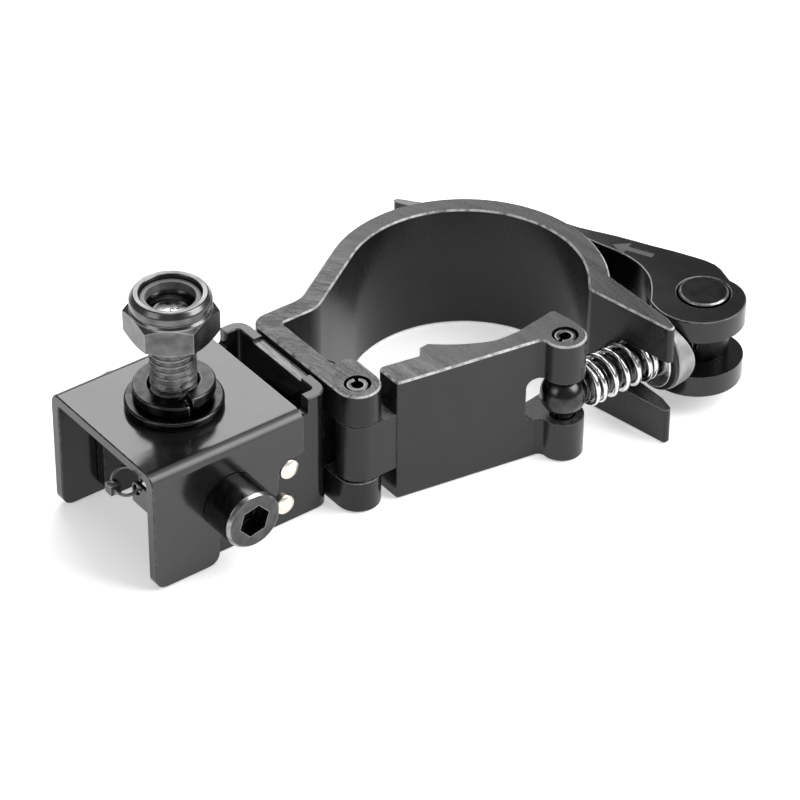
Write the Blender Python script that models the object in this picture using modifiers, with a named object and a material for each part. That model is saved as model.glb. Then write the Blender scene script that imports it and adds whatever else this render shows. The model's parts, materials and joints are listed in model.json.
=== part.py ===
"""Pipe clamp for stage lighting: hinged jaw, cam lever, swivelling yoke bracket.

Metres, +Z up, the clamped tube stands along Z through the origin.
+X runs from the bracket to the lever, +Y is the closed side of the ring.
"""
import math

import bmesh
import bpy
from mathutils import Matrix, Vector

# ---------------------------------------------------------------- dimensions
MM = 0.001
GAP = 0.3                      # running gap between neighbouring pieces

HEIGHT = 30.0                  # length of both extrusions along the tube
BORE_R = 25.7                  # for a tube of 50 mm
RING_R = 30.4
WALL = 5.0
RIM = 0.4                      # broken edge on the saw-cut ends

LEFT_X = -46.0                 # flat face that carries the bracket
TOP_Y = 15.0
KNEE_DEG = 123.0               # where the straight flank leaves the ring
LEFT_PIN = (-41.1, -16.6)
RIGHT_PIN = (3.7, -28.6)
PIN_R = 2.5
PIN_HOLE_R = 2.85
PIN_BORE_R = 1.3
PIN_RECESS = 0.3
KNUCKLE_R = 4.9
TAB_R = 4.6
TAB_Z = (8.1, 21.8)
TAB_GAP_Z = (7.6, 22.3)
EYE_SLOT_Z = (9.7, 20.3)

BOLT_Z = 15.0                  # height of the tension bolt's axis
EYE_R = 5.0
M8_R = 3.9
M10_R = 4.9
M10_PITCH = 1.5
LIP_SLOT_R = 6.2               # half the height of the slot in the lip
LIP_SLOT_Y = -29.0             # centre of the slot's round end

CAM_PIN = (41.8, -28.6)
CAM_R = 12.0
LEVER_Z = (5.2, 24.8)
EAR = 5.3
TRUNNION_R = 5.4
BARREL_R = 6.0

THRUST_X = (26.6, 27.2)
NYLON_X = (27.4, 28.2)
SADDLE_X = 28.4
SADDLE_R = (8.8, 8.2)

SPRING_MEAN_R = 4.75
SPRING_WIRE_R = 0.6
SPRING_X = (8.8, 25.6)
SPRING_TURNS = 6.8
SPRING_CLOSED = 1.15           # turns laid side by side at each end

SHEET = 2.5
INNER_Y = (-14.2, 17.2)        # outside of the inner bracket
OUTER_Y = (-17.0, 20.0)        # outside of the outer bracket
OUTER_X = (-92.0, -54.6)
OUTER_TOP = 28.8
WEB_X = (-48.8, -46.3)
WEB_TOP = 29.2
TILT = (-73.4, 15.0)           # x, z of the tilt screw
YOKE = (-74.0, 1.5)            # x, y of the yoke bolt
SWIVEL = (1.5, 15.0)           # y, z of the swivel bolt
NUT_Z = 46.4                   # underside of the lock nut as shown
SPLIT_DEG = -98.0              # where the split washer starts, at its high end
SPLIT_SWEEP = 356.0
SPLIT_RISE = 1.7
STOP_PINS = ((-58.4, 15.8), (-58.4, 5.5))
STOP_PIN_END = (-17.2, -15.4)  # how far out the upper and the lower pin reach
STOP_PIN_R = 2.3

BLACK = (0.012, 0.012, 0.013, 1.0)
ZINC = (0.62, 0.62, 0.60, 1.0)


# ------------------------------------------------------------------- outlines
def arc(cx, cy, r, a0, a1, n):
    """Points on a circle from angle a0 to a1 in degrees, both ends included."""
    out = []
    for i in range(n + 1):
        a = math.radians(a0 + (a1 - a0) * i / n)
        out.append((cx + r * math.cos(a), cy + r * math.sin(a)))
    return out


def fillet(corners, seg=4):
    """Round each (x, y, r) corner of a closed outline; r of 0 keeps it sharp."""
    out = []
    n = len(corners)
    for i, (x, y, r) in enumerate(corners):
        here = Vector((x, y))
        if r <= 0.0:
            out.append((x, y))
            continue
        back = (Vector(corners[i - 1][:2]) - here).normalized()
        ahead = (Vector(corners[(i + 1) % n][:2]) - here).normalized()
        half = back.angle(ahead) / 2.0
        reach = r / math.tan(half)
        centre = here + (back + ahead).normalized() * (r / math.sin(half))
        start = here + back * reach - centre
        turn = start.angle_signed(here + ahead * reach - centre)
        for k in range(seg + 1):
            step = start.copy()
            step.rotate(Matrix.Rotation(-turn * k / seg, 2))
            out.append(tuple(centre + step))
    return out


def sharp(points):
    """Mark plain points as corners without rounding."""
    return [(x, y, 0.0) for x, y in points]


def smooth(points, per=4):
    """Catmull-Rom curve through the points, ends included."""
    pts = [Vector(p) for p in points]
    pts = [pts[0] * 2 - pts[1]] + pts + [pts[-1] * 2 - pts[-2]]
    out = []
    for a, b, c, d in zip(pts, pts[1:], pts[2:], pts[3:]):
        for k in range(per):
            t = k / per
            q = (b * 2 + (c - a) * t + (a * 2 - b * 5 + c * 4 - d) * t * t
                 + (b * 3 - a - c * 3 + d) * t * t * t)
            out.append(tuple(q * 0.5))
    out.append(tuple(pts[-2]))
    return out


def polar(r, deg, cx=0.0, cy=0.0):
    a = math.radians(deg)
    return (cx + r * math.cos(a), cy + r * math.sin(a))


# ------------------------------------------------------------------ scene set
def clear_scene():
    for ob in list(bpy.data.objects):
        bpy.data.objects.remove(ob, do_unlink=True)


def collection(name):
    coll = bpy.data.collections.new(name)
    bpy.context.scene.collection.children.link(coll)
    return coll


def material(name, colour, metallic, rough):
    mat = bpy.data.materials.new(name)
    mat.use_nodes = True
    node = mat.node_tree.nodes["Principled BSDF"]
    node.inputs["Base Color"].default_value = colour
    node.inputs["Metallic"].default_value = metallic
    node.inputs["Roughness"].default_value = rough
    return mat


def new_object(name, mesh, place, origin=(0.0, 0.0, 0.0)):
    """Link a mesh given in mm and put its origin, also in mm, on a joint axis."""
    mesh.transform(Matrix.Translation(-Vector(origin)))
    mesh.transform(Matrix.Scale(MM, 4))
    ob = bpy.data.objects.new(name, mesh)
    ob.location = Vector(origin) * MM
    place.objects.link(ob)
    return ob


def finish(ob, look, crease=35.0):
    ob.data.materials.clear()
    ob.data.materials.append(material(ob.name, *look))
    ob.data.set_sharp_from_angle(angle=math.radians(crease))
    return ob


def to_mesh(bm, name):
    bmesh.ops.recalc_face_normals(bm, faces=bm.faces)
    mesh = bpy.data.meshes.new(name)
    bm.to_mesh(mesh)
    bm.free()
    for face in mesh.polygons:
        face.use_smooth = True
    return mesh


# --------------------------------------------------------------------- shapes
AXES = {
    "z": Matrix.Identity(4),
    "x": Matrix(((0, 0, 1, 0), (1, 0, 0, 0), (0, 1, 0, 0), (0, 0, 0, 1))),
    "y": Matrix(((1, 0, 0, 0), (0, 0, 1, 0), (0, 1, 0, 0), (0, 0, 0, 1))),
}


def evaluated_mesh(ob):
    """Mesh of a curve or of an object with modifiers, which is then removed."""
    bpy.context.scene.collection.objects.link(ob)
    bpy.context.view_layer.update()
    graph = bpy.context.evaluated_depsgraph_get()
    mesh = bpy.data.meshes.new_from_object(ob.evaluated_get(graph))
    bpy.data.objects.remove(ob, do_unlink=True)
    return mesh


def prism(name, outline, low, high, axis="z", rim=0.0, seg=1):
    """Solid of a flat outline, from low to high along an axis, with broken rims.

    The outline's pair is (x, y) for z, (y, z) for x and (x, z) for y.
    """
    curve = bpy.data.curves.new(name, "CURVE")
    curve.dimensions = "2D"
    curve.fill_mode = "BOTH"
    curve.extrude = (high - low) / 2.0
    spline = curve.splines.new("POLY")
    spline.points.add(len(outline) - 1)
    for point, (u, v) in zip(spline.points, outline):
        point.co = (u, v, 0.0, 1.0)
    spline.use_cyclic_u = True
    bm = bmesh.new()
    bm.from_mesh(evaluated_mesh(bpy.data.objects.new(name, curve)))
    bmesh.ops.remove_doubles(bm, verts=bm.verts, dist=1e-4)
    bmesh.ops.dissolve_limit(bm, angle_limit=0.001, verts=bm.verts, edges=bm.edges)
    bmesh.ops.translate(bm, verts=bm.verts, vec=(0.0, 0.0, (low + high) / 2.0))
    if rim > 0.0:
        flat = [e for e in bm.edges if abs(e.verts[0].co.z - e.verts[1].co.z) < 1e-4]
        bmesh.ops.bevel(bm, geom=flat, offset=rim, segments=seg, profile=0.5,
                        affect="EDGES", clamp_overlap=True)
    bmesh.ops.transform(bm, matrix=AXES[axis], verts=bm.verts)
    return to_mesh(bm, name)


def lathe(name, profile, centre, axis="z", steps=32, ring=False):
    """Turn a profile of (radius, along) pairs about an axis through centre."""
    points = [(r, 0.0, h) for r, h in profile]
    edges = [(i, i + 1) for i in range(len(points) - 1)]
    if ring:
        edges.append((len(points) - 1, 0))
    mesh = bpy.data.meshes.new(name)
    mesh.from_pydata(points, edges, [])
    ob = bpy.data.objects.new(name, mesh)
    screw = ob.modifiers.new("Screw", "SCREW")
    screw.axis = "Z"
    screw.steps = steps
    screw.render_steps = steps
    screw.use_merge_vertices = True
    screw.merge_threshold = 0.0001
    bm = bmesh.new()
    bm.from_mesh(evaluated_mesh(ob))
    bmesh.ops.transform(bm, matrix=AXES[axis], verts=bm.verts)
    bmesh.ops.translate(bm, verts=bm.verts, vec=centre)
    return to_mesh(bm, name)


def rod(name, r, low, high, centre, axis="z", steps=32):
    return lathe(name, [(0, low), (r, low), (r, high), (0, high)], centre, axis, steps)


def tube_ring(name, inner, outer, low, high, centre, axis="z", steps=32, rim=0.2):
    profile = [(inner, low), (outer - rim, low), (outer, low + rim),
               (outer, high - rim), (outer - rim, high), (inner, high)]
    return lathe(name, profile, centre, axis, steps, ring=True)


def box(name, low, high):
    bm = bmesh.new()
    bmesh.ops.create_cube(bm, size=1.0)
    size = Vector(high) - Vector(low)
    bmesh.ops.scale(bm, vec=size, verts=bm.verts)
    bmesh.ops.translate(bm, vec=Vector(low) + size / 2, verts=bm.verts)
    return to_mesh(bm, name)


def wire(name, points, radius, cyclic=False):
    """Round wire along points, made as a poly spline and turned into a mesh."""
    curve = bpy.data.curves.new(name, "CURVE")
    curve.dimensions = "3D"
    curve.bevel_depth = radius
    curve.bevel_resolution = 2
    curve.use_fill_caps = not cyclic
    spline = curve.splines.new("POLY")
    spline.points.add(len(points) - 1)
    for point, co in zip(spline.points, points):
        point.co = (*co, 1.0)
    spline.use_cyclic_u = cyclic
    bm = bmesh.new()
    bm.from_mesh(evaluated_mesh(bpy.data.objects.new(name, curve)))
    bmesh.ops.remove_doubles(bm, verts=bm.verts, dist=1e-4)
    return to_mesh(bm, name)


def combine(ob, mesh, how="DIFFERENCE"):
    """Cut, join or intersect ob with a mesh given in mm."""
    tool = new_object(f"{ob.name}_tool_{len(ob.modifiers)}", mesh, TOOLS)
    tool.hide_render = True
    tool.display_type = "WIRE"
    mod = ob.modifiers.new("Boolean", "BOOLEAN")
    mod.operation = how
    mod.solver = "EXACT"
    mod.object = tool


def thread(r, low, high, pitch, depth=0.55):
    """Zigzag part of a turned profile that stands for a screw thread."""
    out = [(r - depth, low)]
    count = int((high - low) / pitch)
    start = low + ((high - low) - count * pitch) / 2.0
    for i in range(count):
        out.append((r - depth, start + pitch * (i + 0.08)))
        out.append((r, start + pitch * (i + 0.46)))
        out.append((r, start + pitch * (i + 0.58)))
    out.append((r - depth, start + pitch * count))
    out.append((r - depth, high))
    return [p for a, p in zip([None] + out, out) if a != p]


def hexagon(flats, turn=0.0):
    return [polar(flats / math.sqrt(3.0), 60.0 * i + turn) for i in range(6)]


def hex_body(name, flats, low, high, centre, axis="z", turn=0.0):
    """Hexagon, and the turned shape that takes its corners off at both ends."""
    cut = (flats / math.sqrt(3.0) - flats / 2.0) * 0.62
    across = flats / 2.0 * 0.97
    wide = flats / math.sqrt(3.0) + 0.02
    rise = (wide - across) * math.tan(math.radians(27.0))
    profile = [(0, low), (across, low), (wide, low + rise), (wide, high - rise), (across, high),
               (0, high)]
    hexa = prism(name, hexagon(flats, turn), low - cut, high + cut)
    hexa.transform(AXES[axis])
    hexa.transform(Matrix.Translation(centre))
    return hexa, lathe(name + "_turned", profile, centre, axis, 32)


# ------------------------------------------------------------------ the pieces
def body_outline():
    lx, ly = LEFT_PIN
    slope = math.tan(math.radians(KNEE_DEG - 90.0))
    tx, ty = polar(BORE_R, KNEE_DEG)
    ox, oy = polar(RING_R, KNEE_DEG)
    inner_top = TOP_Y - WALL
    outer_x = 24.8
    foot = -math.degrees(math.acos(outer_x / RING_R))
    corners = [(lx + KNUCKLE_R, -8.0, 1.3), (LEFT_X + WALL, -8.0, 0.5),
               (LEFT_X + WALL, inner_top, 0.5),
               (tx - (ty - inner_top) / slope, inner_top, 7.0)]
    corners += sharp(arc(0, 0, BORE_R, KNEE_DEG, -39.0, 38))
    corners += [(18.1, -18.6, 2.6), (22.3, -40.4, 0.8), (23.9, -40.3, 0.8),
                (outer_x, -36.4, 3.0)]
    corners += sharp(arc(0, 0, RING_R, foot, KNEE_DEG, 38))
    corners += [(ox - (oy - TOP_Y) / slope, TOP_Y, 7.0), (LEFT_X, TOP_Y, 3.4)]
    corners += sharp(arc(lx, ly, KNUCKLE_R, 180.0, 360.0, 14))
    return fillet(corners)


def make_body():
    ob = new_object("clamp_body", prism("clamp_body", body_outline(), 0, HEIGHT, rim=RIM), PARTS)
    lx, ly = LEFT_PIN
    combine(ob, box("tab_room", (LEFT_X - 2, ly - 8, TAB_GAP_Z[0]), (lx + 6, -11.4, TAB_GAP_Z[1])))
    slot = [(-50.0, BOLT_Z - LIP_SLOT_R)] + arc(LIP_SLOT_Y, BOLT_Z, LIP_SLOT_R, -90, 90, 12)
    slot.append((-50.0, BOLT_Z + LIP_SLOT_R))
    combine(ob, prism("lip_slot", slot, 15.0, 27.0, axis="x"))
    combine(ob, rod("pin_hole", PIN_HOLE_R, -1, HEIGHT + 1, (lx, ly, 0), steps=24))
    combine(ob, rod("web_hole", 4.1, LEFT_X - 2, LEFT_X + WALL + 2, (0, *SWIVEL), "x", 24))
    return finish(ob, (BLACK, 0.7, 0.35))


def make_spring_pin(name, pin):
    """Slotted spring pin that fills a knuckle row, open along its middle."""
    low = PIN_RECESS
    high = HEIGHT - PIN_RECESS
    mesh = tube_ring(name, PIN_BORE_R, PIN_R, low, high, (*pin, 0), steps=24, rim=0.35)
    return finish(new_object(name, mesh, PARTS, (*pin, 0)), ((0.05, 0.05, 0.05, 1), 0.9, 0.4))


def make_jaw():
    rx, ry = RIGHT_PIN
    r = TAB_R
    hollow = smooth([(-3.5, -21.55), (-9.0, -21.2), (-13.0, -19.5), (-17.0, -17.1),
                     (-20.2, -14.6)], 5)
    corners = [(-34.6, -14.45, 1.2), (-34.6, -21.6, 0.6), (rx - r, -27.2, 1.4)]
    corners += sharp(arc(rx, ry, r, 180.0, 360.0, 14))
    corners += [(rx + r, -24.6, 4.0), (7.4, -19.9, 1.0)]
    corners += sharp(hollow)
    corners += [(-21.2, -13.8, 0.8), (-23.2, -14.0, 0.8), (-24.9, -16.3, 0.6)]
    ob = new_object("jaw", prism("jaw", fillet(corners), 0, HEIGHT, rim=RIM), PARTS,
                    (*LEFT_PIN, 0))
    lx, ly = LEFT_PIN
    tab = arc(lx, ly, TAB_R, 84.0, 268.0, 16) + [(-33.0, -21.2), (-33.0, -14.9)]
    combine(ob, prism("tab", tab, TAB_Z[0], TAB_Z[1]), "UNION")
    combine(ob, rod("left_hole", PIN_HOLE_R, -1, HEIGHT + 1, (lx, ly, 0), steps=24))
    z0, z1 = EYE_SLOT_Z
    slot = fillet([(-4.7, z0, 2.0), (14.0, z0, 0), (14.0, z1, 0), (-4.7, z1, 2.0)])
    combine(ob, prism("eye_slot", slot, -40.0, -15.0, axis="y"))
    combine(ob, rod("right_hole", PIN_HOLE_R, -1, HEIGHT + 1, (rx, ry, 0), steps=24))
    return finish(ob, (BLACK, 0.7, 0.35))


def make_eye_bolt():
    ball = [(EYE_R * math.cos(math.radians(a)), EYE_R * math.sin(math.radians(a)))
            for a in range(-90, 50, 15)]
    profile = [(0.0, -EYE_R)] + ball[1:] + [(3.4, 3.9)]
    start = 4.2
    stop = CAM_PIN[0] - RIGHT_PIN[0] - 6.6
    profile += [(M8_R - 0.4, start), (M8_R, start + 0.4)]
    profile += [(M8_R, stop), (M8_R - 0.2, stop + 0.2), (M8_R - 0.2, stop + 10.2),
                (M8_R - 0.8, stop + 10.8), (0.0, stop + 10.8)]
    centre = (*RIGHT_PIN, BOLT_Z)
    mesh = lathe("eye_bolt", profile, centre, "x", 28)
    ob = new_object("eye_bolt", mesh, PARTS, (*RIGHT_PIN, 0))
    x, y = RIGHT_PIN
    for low, high in ((BOLT_Z - 9, BOLT_Z - 4.8), (BOLT_Z + 4.8, BOLT_Z + 9)):
        combine(ob, box("flat", (x - 8, y - 8, low), (x + 4.2, y + 8, high)))
    combine(ob, rod("eye", PIN_R + GAP, 0, HEIGHT, (x, y, 0), steps=24))
    return finish(ob, ((0.09, 0.09, 0.09, 1), 0.9, 0.3))


def make_cam_barrel():
    low, high = LEVER_Z
    rt = TRUNNION_R
    in_low = low + EAR + 0.15
    in_high = high - EAR - 0.15
    profile = [(0, low - 0.3), (rt - 0.4, low - 0.3), (rt, low + 0.1), (rt, in_low),
               (BARREL_R, in_low), (BARREL_R, in_high), (rt, in_high), (rt, high + 0.1),
               (rt - 0.4, high + 0.5), (0, high + 0.5)]
    ob = new_object("cam_barrel", lathe("cam_barrel", profile, (*CAM_PIN, 0), "z", 40),
                    PARTS, (*CAM_PIN, 0))
    combine(ob, rod("cross_hole", M8_R - 0.1, CAM_PIN[0] - 9, CAM_PIN[0] + 9,
                    (0, CAM_PIN[1], BOLT_Z), "x", 28))
    return finish(ob, ((0.02, 0.02, 0.02, 1), 0.8, 0.35))


def make_tension_spring():
    """Coil with a closed turn at each end; its wire starts on the +Y side."""
    steps = int(SPRING_TURNS * 15)
    points = []
    length = SPRING_X[1] - SPRING_X[0]
    closed = SPRING_CLOSED * (2 * SPRING_WIRE_R + 0.06)
    open_turns = SPRING_TURNS - 2 * SPRING_CLOSED
    for i in range(steps + 1):
        turn = SPRING_TURNS * i / steps
        a = math.tau * turn
        if turn < SPRING_CLOSED:
            x = turn / SPRING_CLOSED * closed
        elif turn > SPRING_TURNS - SPRING_CLOSED:
            x = length - (SPRING_TURNS - turn) / SPRING_CLOSED * closed
        else:
            x = closed + (turn - SPRING_CLOSED) / open_turns * (length - 2 * closed)
        points.append((SPRING_X[0] + x, RIGHT_PIN[1] + SPRING_MEAN_R * math.cos(a),
                       BOLT_Z + SPRING_MEAN_R * math.sin(a)))
    mesh = wire("tension_spring", points, SPRING_WIRE_R)
    return finish(new_object("tension_spring", mesh, PARTS, (*RIGHT_PIN, 0)),
                  (ZINC, 1.0, 0.25), 50.0)


def make_saddle_stack():
    at = (0, RIGHT_PIN[1], BOLT_Z)
    hole = M8_R + 0.35
    origin = (SADDLE_X, RIGHT_PIN[1], BOLT_Z)
    plate = tube_ring("thrust_washer", hole, 7.5, *THRUST_X, at, "x", 36, 0.15)
    finish(new_object("thrust_washer", plate, PARTS, origin), (ZINC, 1.0, 0.3))
    pad = tube_ring("nylon_washer", hole, 8.5, *NYLON_X, at, "x", 36, 0.2)
    finish(new_object("nylon_washer", pad, PARTS, origin), ((0.01, 0.01, 0.01, 1), 0.0, 0.5))
    r0, r1 = SADDLE_R
    profile = [(hole, SADDLE_X), (r0 - 0.3, SADDLE_X), (r0, SADDLE_X + 0.3), (r1, 35.0),
               (hole, 35.0)]
    ob = new_object("saddle", lathe("saddle", profile, at, "x", 44, ring=True), PARTS, origin)
    combine(ob, rod("cam_seat", CAM_R + GAP, 0, HEIGHT, (*CAM_PIN, 0), steps=96))
    return finish(ob, ((0.28, 0.28, 0.28, 1), 0.6, 0.6))


def lever_outline():
    px, py = CAM_PIN
    cam = []
    for i in range(31):
        a = 158.0 + 202.0 * i / 30
        late = max(0.0, (a - 186.0) / 174.0)
        cam.append(polar(CAM_R - 4.5 * late ** 1.5, a, px, py))
    outer = smooth([(px + 7.5, py), (50.7, -22.0), (47.9, -14.8), (44.5, -8.4), (40.6, -0.8),
                    polar(36.7, 11.0), polar(35.9, 26.0), polar(35.6, 43.0), polar(36.2, 58.0),
                    polar(37.7, 67.0), polar(40.0, 72.5)], 3)
    tip = [polar(40.8, 74.2), polar(40.7, 75.6), polar(39.6, 75.8)]
    inner = smooth([polar(37.2, 72.6), polar(33.7, 65.5), polar(31.9, 58.0), polar(31.5, 44.0),
                    polar(31.5, 28.0), polar(31.9, 15.0), (34.0, 3.2), (35.6, -1.6),
                    (36.9, -6.0), (37.5, -11.0), (36.6, -16.0), (34.6, -19.6),
                    (32.4, -22.3)], 3)
    return cam[:-1] + outer + tip + inner


def make_cam_lever():
    low, high = LEVER_Z
    px, py = CAM_PIN
    ob = new_object("cam_lever", prism("cam_lever", lever_outline(), low, high, rim=0.4, seg=2),
                    PARTS, (px, py, 0))
    mouth = [(px - 20, py - 20), (px + 20, py - 20), (px + 20, -21.0), (40.5, -16.5),
             (34.0, -17.0), (px - 20, -19.0)]
    combine(ob, prism("mouth", mouth, low + EAR, high - EAR))
    combine(ob, rod("trunnion_hole", TRUNNION_R + GAP, 0, HEIGHT, (px, py, 0), steps=40))
    r = TRUNNION_R + GAP
    wide = r + 1.1
    below = [(0, low - 1.0), (wide, low - 1.0), (r, low + 0.5), (0, low + 0.5)]
    above = [(0, high - 0.5), (r, high - 0.5), (wide, high + 1.0), (0, high + 1.0)]
    for flare in (below, above):
        combine(ob, lathe("flare", flare, (px, py, 0), "z", 40))
    return finish(ob, (BLACK, 0.6, 0.4))


def bent_channel(y0, y1, r, leg_end):
    """Closed outline of a U section of sheet with rounded outer folds."""
    ri = max(r - SHEET, 0.5)
    low, high = leg_end
    return fillet([(low, y0, 0), (high, y0, r), (high, y1, r), (low, y1, 0),
                   (low, y1 - SHEET, 0), (high - SHEET, y1 - SHEET, ri),
                   (high - SHEET, y0 + SHEET, ri), (low, y0 + SHEET, 0)], 5)


def make_inner_bracket():
    tx, tz = TILT
    y0, y1 = INNER_Y
    plan = bent_channel(y0, y1, 3.3, (tx - 12, WEB_X[1]))
    mesh = prism("inner_bracket", plan, 0, WEB_TOP, rim=0.25)
    ob = new_object("inner_bracket", mesh, PARTS, (WEB_X[0], *SWIVEL))
    side = fillet([(-60.0, 0.0, 0.8), (-60.0, -5.0, 0), (-100.0, -5.0, 0), (-100.0, 40.0, 0),
                   (-51.8, 40.0, 0), (-51.8, 25.4, 0.8), (tx, 25.4, 0)]
                  + sharp(arc(tx, tz, 9.9, 90.0, 180.0, 10))
                  + [(tx - 9.9, 2.5, 3.0), (tx - 6.0, -0.5, 0)], 4)
    combine(ob, prism("profile", side, y0 - 2, y1 + 2, axis="y"))
    combine(ob, rod("tilt_hole", 4.2, y0 - 2, y1 + 2, (tx, 0, tz), "y", 24))
    combine(ob, rod("swivel_hole", 4.3, WEB_X[0] - 2, WEB_X[1] + 2, (0, *SWIVEL), "x", 24))
    combine(ob, box("relief", (WEB_X[0] - 1, -7.5, WEB_TOP - 0.7), (WEB_X[1] + 1, 9.5, WEB_TOP + 2)))
    for x, z in STOP_PINS:
        combine(ob, rod("pin_seat", STOP_PIN_R + 0.05, y0 - 2, y0 + SHEET + 1, (x, 0, z), "y", 20))
    return finish(ob, (BLACK, 0.5, 0.3))


def outer_side():
    """Side view (x, z) of the outer bracket with the lobe and the cut-away corner."""
    x0, x1 = OUTER_X
    ux, uz = STOP_PINS[0]
    notch = arc(ux, uz, STOP_PIN_R + 0.6, 196.0, 92.0, 9)
    corners = [(x0, 0.3, 2.6), (-76.3, 0.3, 2.6), (-76.3, 7.6, 1.6), (-63.3, 8.2, 1.6),
               (-61.8, 11.6, 1.5)]
    corners += sharp(notch)
    corners += [(x1 + 0.1, uz + 3.0, 1.4), (x1, 24.0, 0), (-56.0, 40.0, 0), (x0, 40.0, 0)]
    return fillet(corners)


def make_outer_bracket():
    y0, y1 = OUTER_Y
    plan = fillet([(y0, -2, 0), (y0, OUTER_TOP, 2.6), (y1, OUTER_TOP, 2.6), (y1, -2, 0),
                   (y1 - SHEET, -2, 0), (y1 - SHEET, OUTER_TOP - SHEET, 0.6),
                   (y0 + SHEET, OUTER_TOP - SHEET, 0.6), (y0 + SHEET, -2, 0)], 6)
    x0, x1 = OUTER_X
    mesh = prism("outer_bracket", plan, x0, x1, axis="x", rim=0.25)
    ob = new_object("outer_bracket", mesh, PARTS, (TILT[0], YOKE[1], TILT[1]))
    combine(ob, prism("side", outer_side(), y0 - 2, y1 + 2, axis="y"), "INTERSECT")
    combine(ob, rod("tilt_hole", 4.15, y0 - 2, y1 + 2, (TILT[0], 0, TILT[1]), "y", 24))
    combine(ob, rod("yoke_hole", 5.2, 20, 40, (*YOKE, 0), "z", 28))
    return finish(ob, (BLACK, 0.5, 0.25))


def make_stop_pins():
    y0 = INNER_Y[0]
    for name, (x, z), end in zip(("stop_pin_upper", "stop_pin_lower"), STOP_PINS, STOP_PIN_END):
        profile = [(0, y0 + SHEET), (STOP_PIN_R, y0 + SHEET), (STOP_PIN_R, end + 0.3),
                   (STOP_PIN_R - 0.3, end), (0, end)]
        mesh = lathe(name, profile, (x, 0, z), "y", 24)
        finish(new_object(name, mesh, PARTS, (x, y0, z)), ((0.75, 0.7, 0.62, 1), 1.0, 0.25))


def make_tilt_screw():
    """Socket head cap screw across the bracket, with its lock nut behind."""
    tx, tz = TILT
    y0, y1 = OUTER_Y
    face = y0 - 0.1 - 8.4
    profile = [(0, face), (5.7, face), (6.5, face + 0.8), (6.5, y0 - 0.1), (M8_R, y0 - 0.1),
               (M8_R, y1 + 9.4), (M8_R - 0.8, y1 + 10.2), (0, y1 + 10.2)]
    ob = new_object("tilt_screw", lathe("tilt_screw", profile, (tx, 0, tz), "y", 32), PARTS,
                    (tx, y0, tz))
    socket = [(tx + u, tz + v) for u, v in hexagon(6.0, 12.0)]
    combine(ob, prism("socket", socket, face - 1, face + 4.2, axis="y"))
    finish(ob, ((0.03, 0.03, 0.03, 1), 0.8, 0.3))
    make_lock_nut("tilt_nut", 13.0, (tx, y1 + 0.3, tz), "y", 8.0, M8_R + 0.1, 4.8, 30.0)


def make_lock_nut(name, flats, seat, axis, tall, bore, crown, turn):
    """Hexagon nut with a turned crown that holds a nylon ring."""
    across = tall * 0.62
    hexa, turned = hex_body(name, flats, 0, across, seat, axis, turn)
    ob = new_object(name, hexa, PARTS, seat)
    combine(ob, turned, "INTERSECT")
    wide = flats / 2.0 - 0.1
    dome = [(0, across - 1.0), (wide, across - 1.0), (wide, tall - 1.6), (wide - 0.4, tall - 0.6),
            (wide - 1.2, tall), (0, tall)]
    combine(ob, lathe(name + "_crown", dome, seat, axis, 36), "UNION")
    room = [(0, tall - 3.2), (crown + 0.3, tall - 3.2), (crown + 0.3, tall - 0.9),
            (crown - 0.2, tall + 1), (0, tall + 1)]
    combine(ob, lathe(name + "_room", room, seat, axis, 30))
    combine(ob, rod(name + "_bore", bore, -1, tall, seat, axis, 24))
    finish(ob, (ZINC, 1.0, 0.3))
    ring = name + "_insert"
    mesh = tube_ring(ring, bore, crown + 0.1, tall - 3.1, tall - 1.1, seat, axis, 28, 0.15)
    finish(new_object(ring, mesh, PARTS, seat), ((0.5, 0.5, 0.48, 1), 0.0, 0.5))


def make_yoke_bolt():
    x, y = YOKE
    under = OUTER_TOP - SHEET
    hexa, turned = hex_body("yoke_bolt", 16.0, under - 6.5, under - 0.1, (x, y, 0), "z", 0.0)
    ob = new_object("yoke_bolt", hexa, PARTS, (x, y, OUTER_TOP))
    combine(ob, turned, "INTERSECT")
    profile = [(0, under - 3), (M10_R, under - 3), (M10_R, OUTER_TOP - 0.4)]
    profile += thread(M10_R, OUTER_TOP - 0.2, 51.0, M10_PITCH, 0.7)
    profile += [(M10_R - 1.2, 51.8), (0, 51.8)]
    combine(ob, lathe("shank", profile, (x, y, 0), "z", 24), "UNION")
    finish(ob, ((0.35, 0.35, 0.34, 1), 1.0, 0.3))


def make_washers():
    x, y = YOKE
    z = OUTER_TOP + 0.1
    flat = tube_ring("flat_washer", 5.25, 10.3, z, z + 2.0, (x, y, 0), "z", 40, 0.3)
    finish(new_object("flat_washer", flat, PARTS, (x, y, z)), ((0.1, 0.1, 0.1, 1), 0.9, 0.35))
    low = z + 2.1
    steps = 32
    bm = bmesh.new()
    rows = []
    for i in range(steps + 1):
        a = math.radians(SPLIT_DEG + SPLIT_SWEEP * i / steps)
        lift = SPLIT_RISE * (1.0 - i / steps)
        row = []
        for r, h in ((5.4, 0.0), (8.4, 0.0), (8.6, 0.2), (8.6, 2.3), (8.4, 2.5), (5.4, 2.5)):
            row.append(bm.verts.new((x + r * math.cos(a), y + r * math.sin(a), low + h + lift)))
        rows.append(row)
    for one, two in zip(rows, rows[1:]):
        for k in range(6):
            n = (k + 1) % 6
            bm.faces.new((one[k], one[n], two[n], two[k]))
    bm.faces.new(rows[0])
    bm.faces.new(list(reversed(rows[-1])))
    mesh = to_mesh(bm, "spring_washer")
    finish(new_object("spring_washer", mesh, PARTS, (x, y, low)), ((0.1, 0.1, 0.1, 1), 0.9, 0.4))


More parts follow.
